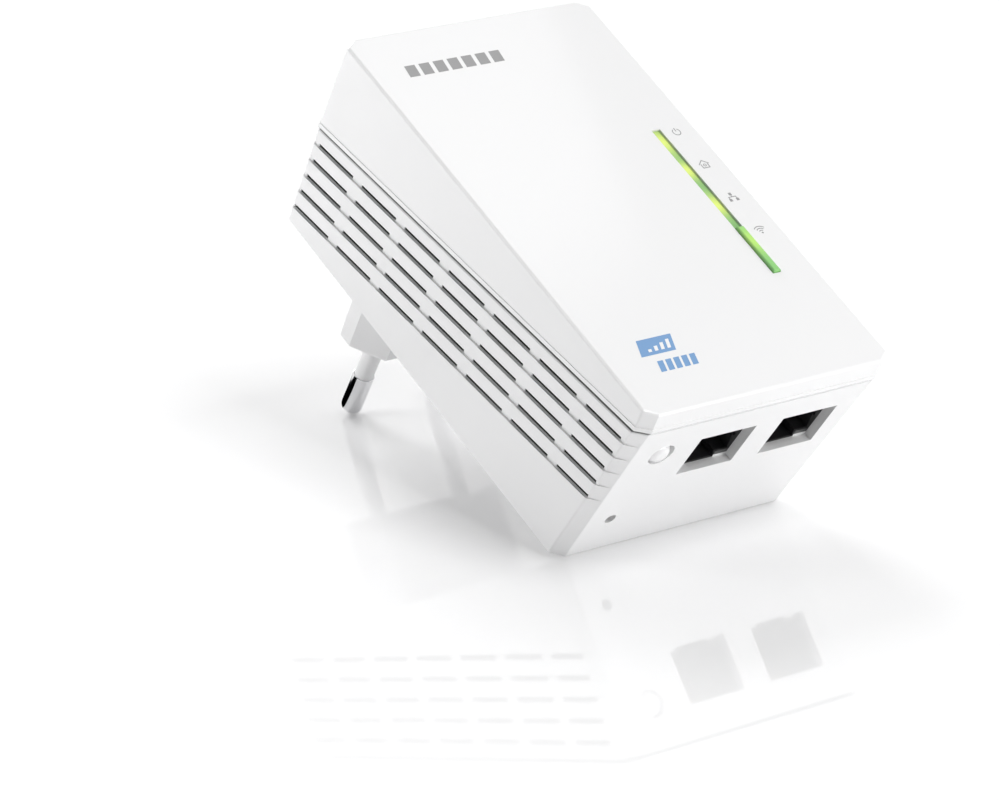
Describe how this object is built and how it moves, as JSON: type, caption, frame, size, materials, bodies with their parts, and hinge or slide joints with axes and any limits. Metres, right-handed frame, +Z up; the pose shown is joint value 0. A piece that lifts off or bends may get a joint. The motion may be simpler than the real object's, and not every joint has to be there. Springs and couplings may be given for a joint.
{
  "type": "powerline adapter",
  "caption": "Plug-in powerline network adapter: white housing with slanted vent grooves, glossy cover, light strip with button, network sockets and a round-pin mains plug.",
  "frame": {"origin": "centre of the footprint of the whole adapter on the surface it leans on, at the height of that surface", "axes": "+Z up from the surface; the port end faces -Y and its lower back edge rests on the surface; the plug pins reach down and back to the surface on the +Y side; +X is to the right seen from the port end"},
  "size_m": [0.054, 0.1048, 0.0761],
  "materials": {
    "cover_gloss": "high gloss white",
    "housing_satin": "fine satin white",
    "plug_white": "satin white",
    "pin_nickel": "polished nickel plate",
    "sleeve_white": "satin white",
    "label_silver": "blank printed film",
    "screw_steel": "zinc plated",
    "lens_green": "frosted green light guide",
    "button_green": "lit green",
    "led_light": "lit",
    "board_green": "solder mask",
    "board_amber": "paper laminate",
    "switch_black": "moulded",
    "plunger_white": "moulded",
    "plunger_black": "moulded",
    "button_white": "gloss white",
    "jack_black": "moulded black",
    "contact_gold": "gold flash",
    "chip_black": "moulded epoxy",
    "sink_aluminium": "extruded",
    "shield_tin": "tinned",
    "antenna_blue": "laminate",
    "coax_grey": "jacket",
    "header_black": "moulded",
    "fuse_black": "moulded",
    "varistor_blue": "dipped",
    "film_yellow": "box film",
    "ferrite_grey": "sintered",
    "can_dark": "sleeved can",
    "tape_yellow": "wound and taped",
    "ceramic_blue": "dipped"
  },
  "bodies": {
    "adapter": {"front_cover": "cover_gloss", "rear_housing": "housing_satin", "plug_body": "plug_white", "pin_line": "pin_nickel", "pin_neutral": "pin_nickel", "pin_sleeves": "sleeve_white", "rating_label": "label_silver", "housing_screws": "screw_steel", "led_lens": "lens_green", "status_leds": "led_light", "light_board": "board_green", "wifi_switch": "switch_black", "pair_switch": "switch_black", "key_board": "board_green", "reset_switch": "switch_black", "main_board": "board_green", "power_board": "board_amber", "ethernet_jack_left": "jack_black", "ethernet_jack_right": "jack_black", "jack_contacts_left": "contact_gold", "jack_contacts_right": "contact_gold", "lan_magnetics": "chip_black", "powerline_chip": "chip_black", "heat_sink": "sink_aluminium", "shield_can": "shield_tin", "wifi_chip": "chip_black", "memory_chips": "chip_black", "crystals": "shield_tin", "antenna_left": "antenna_blue", "antenna_right": "antenna_blue", "coax_left": "coax_grey", "coax_right": "coax_grey", "antenna_sockets": "contact_gold", "light_header": "header_black", "key_header": "header_black", "board_header": "header_black", "board_screws": "screw_steel", "mains_fuse": "fuse_black", "varistor": "varistor_blue", "x_capacitor": "film_yellow", "line_choke": "ferrite_grey", "bridge_rectifier": "chip_black", "bulk_capacitors": "can_dark", "transformer_bobbin": "tape_yellow", "transformer_core": "ferrite_grey", "output_capacitors": "can_dark", "y_capacitor": "ceramic_blue", "coupling_transformer": "tape_yellow"},
    "wifi_key": {"wifi_button": "button_green", "wifi_plunger": "plunger_white"},
    "pair_key": {"pair_button": "button_white", "pair_plunger": "plunger_white"},
    "reset_key": {"reset_plunger": "plunger_black"}
  },
  "joints": [
    {"name": "wifi_button_press", "type": "slide", "parent": "adapter", "child": "wifi_key", "axis": [0, 0.4643, -0.8857], "range_m": [0, 0.0003], "stiffness_N_per_m": 3000},
    {"name": "pair_button_press", "type": "slide", "parent": "adapter", "child": "pair_key", "axis": [0, 0.8857, 0.4643], "range_m": [0, 0.0003], "stiffness_N_per_m": 3000},
    {"name": "reset_press", "type": "slide", "parent": "adapter", "child": "reset_key", "axis": [0, 0.8857, 0.4643], "range_m": [0, 0.0003], "stiffness_N_per_m": 3000}
  ]
}
